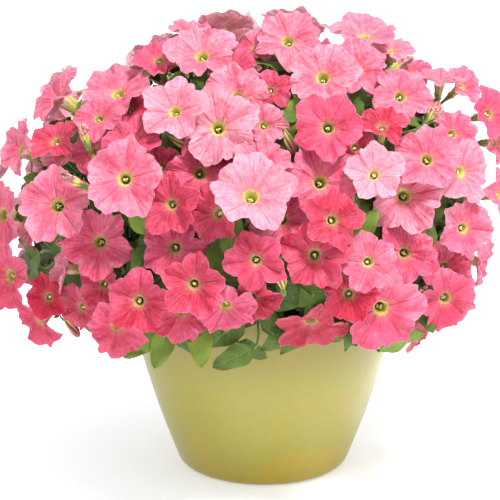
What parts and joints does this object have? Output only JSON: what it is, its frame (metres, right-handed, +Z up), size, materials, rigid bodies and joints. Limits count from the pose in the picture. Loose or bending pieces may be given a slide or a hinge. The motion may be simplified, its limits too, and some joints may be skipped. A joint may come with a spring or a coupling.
{
  "type": "potted petunia",
  "caption": "Mounded trailing petunia with salmon-pink five-lobed trumpet flowers in a plain round glazed pot, for a balcony, terrace or window sill",
  "frame": {"origin": "centre of the pot's flat underside, on the surface it stands on", "axes": "+Z up along the pot's axis, -Y towards the side shown in the picture, +X to the right in the picture"},
  "size_m": [0.4579, 0.3959, 0.393],
  "materials": {
    "pot_glaze": "satin",
    "potting_soil": "matte",
    "petal_pink": "matte",
    "leaf_green": "matte"
  },
  "bodies": {
    "root": {"pot": "pot_glaze", "soil": "potting_soil", "bloom_spray_01": "petal_pink", "bloom_spray_02": "petal_pink", "bloom_spray_03": "petal_pink", "bloom_spray_04": "petal_pink", "bloom_spray_05": "petal_pink", "bloom_spray_06": "petal_pink", "bloom_spray_07": "petal_pink", "bloom_spray_08": "petal_pink", "bloom_spray_09": "petal_pink", "bloom_spray_10": "petal_pink", "bloom_spray_11": "petal_pink", "bloom_spray_12": "petal_pink", "bloom_spray_13": "petal_pink", "bloom_spray_14": "petal_pink", "bloom_spray_15": "petal_pink", "bloom_spray_16": "petal_pink", "bloom_spray_17": "petal_pink", "bloom_spray_18": "petal_pink", "bloom_spray_19": "petal_pink", "bloom_spray_20": "petal_pink", "bloom_spray_21": "petal_pink", "bloom_spray_22": "petal_pink", "bloom_spray_23": "petal_pink", "bloom_spray_24": "petal_pink", "bloom_spray_25": "petal_pink", "bloom_spray_26": "petal_pink", "leafy_stem_01": "leaf_green", "leafy_stem_02": "leaf_green", "leafy_stem_03": "leaf_green", "leafy_stem_04": "leaf_green", "leafy_stem_05": "leaf_green", "leafy_stem_06": "leaf_green", "leafy_stem_07": "leaf_green", "leafy_stem_08": "leaf_green", "leafy_stem_09": "leaf_green", "leafy_stem_10": "leaf_green", "leafy_stem_11": "leaf_green", "leafy_stem_12": "leaf_green", "leafy_stem_13": "leaf_green", "leafy_stem_14": "leaf_green", "leafy_stem_15": "leaf_green", "leafy_stem_16": "leaf_green", "leafy_stem_17": "leaf_green", "leafy_stem_18": "leaf_green", "leafy_stem_19": "leaf_green", "leafy_stem_20": "leaf_green"}
  },
  "joints": []
}
